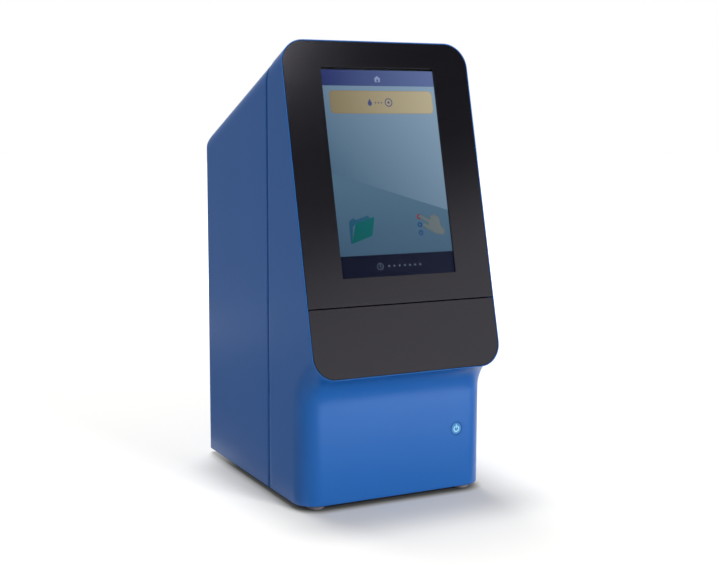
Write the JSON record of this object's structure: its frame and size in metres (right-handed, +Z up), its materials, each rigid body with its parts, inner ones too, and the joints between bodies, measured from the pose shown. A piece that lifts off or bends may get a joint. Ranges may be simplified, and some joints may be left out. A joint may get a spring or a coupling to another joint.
{
  "type": "benchtop chemistry analyzer",
  "caption": "Tall narrow bench analyzer with a leaning touch screen, a rotor drawer in the nose, a label printer under a top lid and a power button.",
  "frame": {"origin": "centre of the footprint on the surface that the feet stand on", "axes": "+Z up, the screen faces -Y, +X to the right seen from the front"},
  "size_m": [0.15, 0.2084, 0.33],
  "materials": {
    "blue_case": "satin",
    "plated_steel": "brushed",
    "foot_rubber": "matte",
    "black_panel": "satin",
    "screen_glass": "gloss",
    "display": "gloss",
    "zinc_steel": "zinc plated",
    "circuit_board": "satin",
    "grey_plastic": "satin",
    "white_plastic": "satin",
    "motor_steel": "satin",
    "clear_plastic": "gloss",
    "black_aluminium": "anodised",
    "bare_aluminium": "milled",
    "lamp_glass": "gloss",
    "capacitor_sleeve": "gloss",
    "brass": "turned",
    "dark_plastic": "matte",
    "paper": "matte",
    "roller_rubber": "matte",
    "button_plastic": "gloss"
  },
  "bodies": {
    "case": {"front_shell": "blue_case", "rear_shell": "blue_case", "base_plate": "plated_steel", "rubber_feet": "foot_rubber", "case_screws": "plated_steel", "fascia_panel": "black_panel", "touch_glass": "screen_glass", "lcd_module": "display", "display_frame": "zinc_steel", "display_board": "circuit_board", "machine_screws": "plated_steel", "drawer_rails": "plated_steel", "drawer_deck": "zinc_steel", "drawer_motor": "motor_steel", "chassis_left": "zinc_steel", "chassis_right": "zinc_steel", "angle_brackets": "zinc_steel", "optical_bench": "black_aluminium", "heater_platen": "bare_aluminium", "heater_posts": "plated_steel", "lens_barrel": "black_aluminium", "optics_block": "black_aluminium", "beam_splitters": "lamp_glass", "detector_cans": "plated_steel", "detector_board": "circuit_board", "lamp_housing": "black_aluminium", "flash_lamp": "lamp_glass", "lamp_lens": "lamp_glass", "flash_board": "circuit_board", "flash_capacitors": "capacitor_sleeve", "main_board": "circuit_board", "board_standoffs": "brass", "heat_sink": "bare_aluminium", "port_plate": "zinc_steel", "network_jack": "plated_steel", "usb_ports": "plated_steel", "serial_port": "plated_steel", "power_jack": "dark_plastic", "fan_frame": "dark_plastic", "printer_frame": "dark_plastic", "print_head": "bare_aluminium", "tear_bar": "plated_steel", "button_bezel": "blue_case", "power_switch": "dark_plastic"},
    "drawer": {"drawer_front": "black_panel", "drawer_screws": "plated_steel", "drawer_tray": "grey_plastic", "drawer_runners": "plated_steel", "drawer_rack": "white_plastic", "spindle_motor": "motor_steel"},
    "rotor": {"spindle_chuck": "plated_steel", "sample_rotor": "clear_plastic"},
    "drive_pinion": {"drawer_pinion": "white_plastic"},
    "fan": {"fan_rotor": "dark_plastic"},
    "paper_spool": {"paper_roll": "paper", "roll_spindle": "grey_plastic"},
    "lid": {"printer_lid": "blue_case", "lid_hinge_pins": "plated_steel"},
    "platen": {"platen_roller": "roller_rubber"},
    "button": {"power_button": "button_plastic"}
  },
  "joints": [
    {"name": "drawer_slide", "type": "slide", "parent": "case", "child": "drawer", "axis": [0, -1, 0], "range_m": [0, 0.1]},
    {"name": "rotor_spin", "type": "hinge", "parent": "drawer", "child": "rotor", "pos_m": [0, -0.04, 0.1135], "axis": [0, 0, 1], "continuous": true},
    {"name": "pinion_turn", "type": "hinge", "parent": "case", "child": "drive_pinion", "pos_m": [0.038, -0.052, 0.1049], "axis": [0, 0, 1], "range_deg": [-638.6, 0]},
    {"name": "fan_spin", "type": "hinge", "parent": "case", "child": "fan", "pos_m": [0, 0.09465, 0.2], "axis": [0, -1, 0], "continuous": true},
    {"name": "paper_roll_turn", "type": "hinge", "parent": "case", "child": "paper_spool", "pos_m": [0, 0.01586, 0.26676], "axis": [1, 0, 0], "continuous": true},
    {"name": "lid_hinge", "type": "hinge", "parent": "case", "child": "lid", "pos_m": [0, 0.06112, 0.28047], "axis": [-1, 0, 0], "range_deg": [0, 90]},
    {"name": "platen_turn", "type": "hinge", "parent": "lid", "child": "platen", "pos_m": [0, -0.00827, 0.3046], "axis": [1, 0, 0], "continuous": true},
    {"name": "button_press", "type": "slide", "parent": "case", "child": "button", "axis": [0, 1, 0], "range_m": [0, 0.001], "stiffness_N_per_m": 800}
  ],
  "couplings": [
    {"joint": "pinion_turn", "follows": "drawer_slide", "rad_per_m": -111.11}
  ]
}
